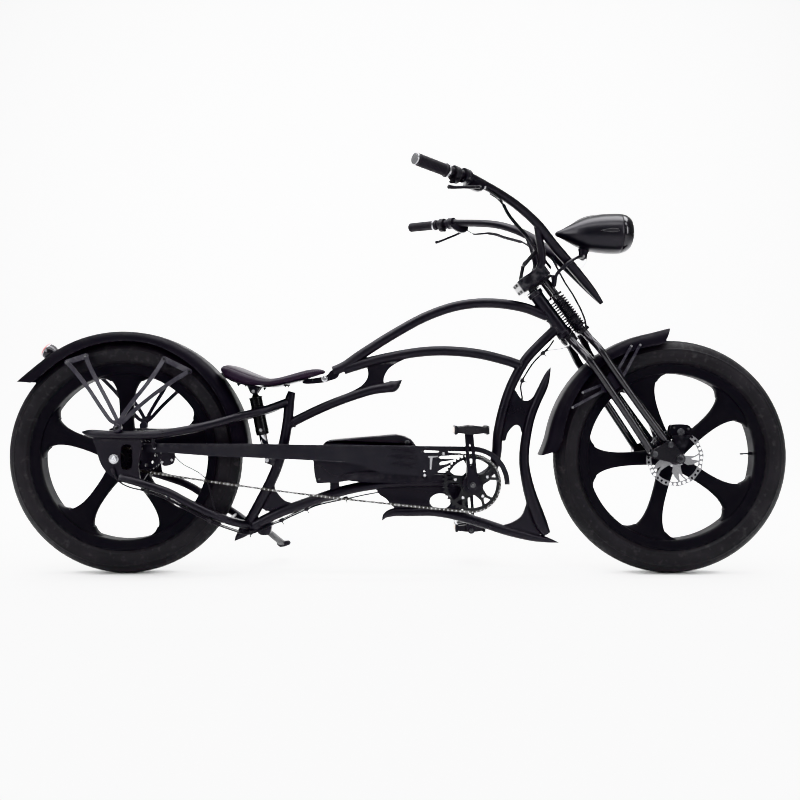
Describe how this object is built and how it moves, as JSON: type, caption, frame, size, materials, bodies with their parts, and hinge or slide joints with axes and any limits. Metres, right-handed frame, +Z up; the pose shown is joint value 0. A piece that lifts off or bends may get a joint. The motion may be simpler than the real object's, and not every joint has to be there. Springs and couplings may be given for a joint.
{
  "type": "electric cruiser bicycle",
  "caption": "Low black electric cruiser bicycle with a springer fork, swept handlebar, long seat on a damper, frame battery, wide tyres, full mudguards and a chain guard.",
  "frame": {"origin": "on the ground midway between the two axles, on the bike's middle plane", "axes": "+X the way the bike rides, -Y its right side with the chain, +Z up"},
  "size_m": [2.456, 0.8186, 1.2031],
  "materials": {
    "black_paint": "satin black powder coat",
    "gloss_black": "gloss black paint",
    "dark_grey": "dark grey satin paint",
    "steel": "bright plated steel",
    "dark_steel": "dark satin steel",
    "tyre": "black tyre rubber",
    "rubber": "matte black rubber",
    "leather": "dark stitched leather",
    "red_lens": "red moulded lens",
    "clear_lens": "clear lens"
  },
  "bodies": {
    "frame": {"head_tube": "black_paint", "upper_top_tube": "black_paint", "lower_top_tube": "black_paint", "down_tube": "black_paint", "seat_strut": "black_paint", "brace_tube": "black_paint", "lower_rail": "black_paint", "belly_tube": "black_paint", "front_fin": "black_paint", "upper_stays": "black_paint", "lower_stays": "black_paint", "dropout_right": "black_paint", "dropout_left": "black_paint", "rear_axle": "steel", "rear_fender": "black_paint", "rear_fender_stay_right": "dark_grey", "rear_fender_stay_left": "dark_grey", "tail_light_housing": "black_paint", "tail_light_lens": "red_lens", "battery_case": "black_paint", "battery_lid": "gloss_black", "chain_guard": "dark_grey", "chain": "dark_steel", "rear_caliper": "black_paint", "rear_brake_cable": "rubber", "shock_shaft": "steel"},
    "rear_wheel": {"rear_wheel": "black_paint", "rear_tyre": "tyre", "rear_rotor": "steel"},
    "rear_sprocket": {"rear_sprocket": "dark_steel"},
    "cranks": {"cranks": "dark_steel", "chainring": "dark_steel"},
    "pedal_right": {"pedal_right": "black_paint"},
    "pedal_left": {"pedal_left": "black_paint"},
    "steering": {"fork_steerer": "steel", "fork_rear_legs": "gloss_black", "front_fender": "black_paint", "stem": "gloss_black", "handlebar": "black_paint", "grip_right": "rubber", "grip_left": "rubber", "display": "gloss_black", "headlight_bracket": "black_paint", "headlight_shell": "gloss_black", "headlight_lens": "clear_lens", "fork_spring_right": "gloss_black", "fork_spring_left": "gloss_black"},
    "brake_lever_right": {"brake_lever_right": "dark_steel"},
    "brake_lever_left": {"brake_lever_left": "dark_steel"},
    "front_legs": {"fork_front_legs": "gloss_black"},
    "rockers": {"fork_rockers": "gloss_black", "front_caliper": "black_paint"},
    "front_wheel": {"front_wheel": "black_paint", "front_tyre": "tyre", "front_rotor": "steel"},
    "saddle": {"saddle_cushion": "leather", "saddle_pan": "dark_steel"},
    "shock_upper": {"shock_body": "black_paint"},
    "kickstand": {"kickstand": "black_paint"}
  },
  "joints": [
    {"name": "steering", "type": "hinge", "parent": "frame", "child": "steering", "pos_m": [0.4313, 0, 0.89], "axis": [-0.5934, 0, 0.8049], "range_deg": [-35, 35]},
    {"name": "fork_rocker", "type": "hinge", "parent": "steering", "child": "rockers", "pos_m": [0.78185, 0, 0.38252], "axis": [0, -1, 0], "range_deg": [0, 15], "stiffness_Nm_per_rad": 150, "springref_deg": -11.46},
    {"name": "fork_legs_slide", "type": "slide", "parent": "steering", "child": "front_legs", "axis": [-0.5934, 0, 0.8049], "range_m": [0, 0.016], "deforming": ["fork_spring_right", "fork_spring_left"]},
    {"name": "front_wheel_spin", "type": "hinge", "parent": "rockers", "child": "front_wheel", "pos_m": [0.86, 0, 0.368], "axis": [0, 1, 0], "continuous": true},
    {"name": "rear_wheel_spin", "type": "hinge", "parent": "frame", "child": "rear_wheel", "pos_m": [-0.86, 0, 0.368], "axis": [0, 1, 0], "continuous": true},
    {"name": "crank_spin", "type": "hinge", "parent": "frame", "child": "cranks", "pos_m": [0.229, 0, 0.289], "axis": [0, 1, 0], "continuous": true},
    {"name": "sprocket_spin", "type": "hinge", "parent": "frame", "child": "rear_sprocket", "pos_m": [-0.86, 0, 0.368], "axis": [0, 1, 0], "continuous": true},
    {"name": "pedal_right_spin", "type": "hinge", "parent": "cranks", "child": "pedal_right", "pos_m": [0.21588, -0.166, 0.4595], "axis": [0, 1, 0], "continuous": true},
    {"name": "pedal_left_spin", "type": "hinge", "parent": "cranks", "child": "pedal_left", "pos_m": [0.24212, 0.166, 0.1185], "axis": [0, 1, 0], "continuous": true},
    {"name": "saddle_tilt", "type": "hinge", "parent": "frame", "child": "saddle", "pos_m": [-0.231, 0, 0.614], "axis": [0, -1, 0], "range_deg": [0, 2.6], "stiffness_Nm_per_rad": 250, "springref_deg": -5.73},
    {"name": "shock_slide", "type": "slide", "parent": "frame", "child": "shock_upper", "axis": [0.193, 0, -0.9812], "range_m": [0, 0.0105]},
    {"name": "kickstand_fold", "type": "hinge", "parent": "frame", "child": "kickstand", "pos_m": [-0.426, 0.0438, 0.128], "axis": [0, 0.4108, 0.9117], "range_deg": [0, 90]},
    {"name": "brake_right", "type": "hinge", "parent": "steering", "child": "brake_lever_right", "pos_m": [0.23, -0.2775, 1.144], "axis": [-0.654, 0.7565, 0], "range_deg": [0, 12], "stiffness_Nm_per_rad": 1, "springref_deg": -17.19},
    {"name": "brake_left", "type": "hinge", "parent": "steering", "child": "brake_lever_left", "pos_m": [0.23, 0.2775, 1.144], "axis": [0.654, 0.7565, 0], "range_deg": [0, 12], "stiffness_Nm_per_rad": 1, "springref_deg": -17.19}
  ],
  "couplings": [
    {"joint": "sprocket_spin", "follows": "crank_spin", "ratio": 2.9333},
    {"joint": "fork_legs_slide", "follows": "fork_rocker", "m_per_rad": 0.0556},
    {"joint": "shock_slide", "follows": "saddle_tilt", "m_per_rad": 0.2275}
  ]
}
